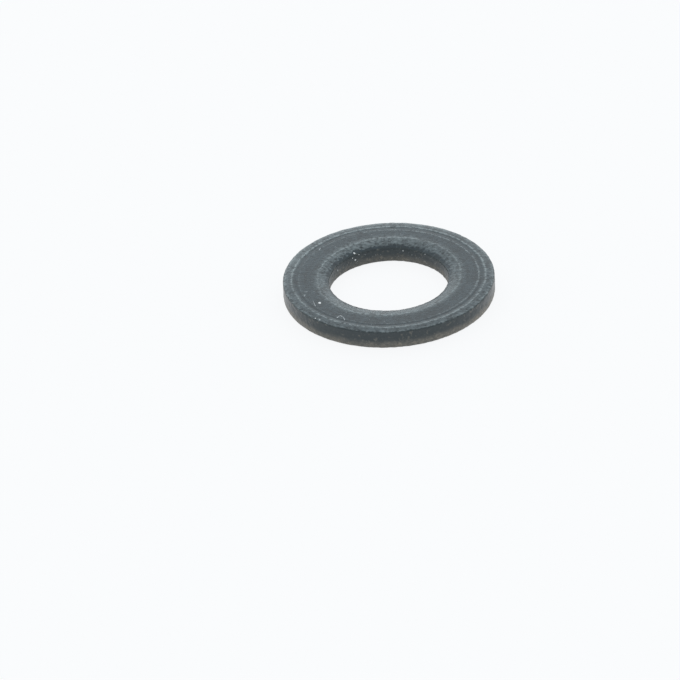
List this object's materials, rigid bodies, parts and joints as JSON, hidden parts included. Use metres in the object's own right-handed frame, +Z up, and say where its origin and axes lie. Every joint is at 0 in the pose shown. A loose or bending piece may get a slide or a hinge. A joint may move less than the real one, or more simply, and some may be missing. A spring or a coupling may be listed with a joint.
{
  "type": "washer",
  "caption": "Flat black rubber ring washer with a round bore, a softly rolled bore edge, a fine ring groove near the rim and a plain flat underside.",
  "frame": {"origin": "on the bore axis, at the flat bottom face that the washer lies on", "axes": "+Z up along the bore axis, from the plain bottom face to the rolled top face; X and Y are any two radial directions"},
  "size_m": [0.016, 0.016, 0.0015],
  "materials": {
    "black_rubber": "satin black moulded rubber, smooth on the flat face, matt and a little dusty on the rolled edges"
  },
  "bodies": {
    "root": {"washer": "black_rubber"}
  },
  "joints": []
}
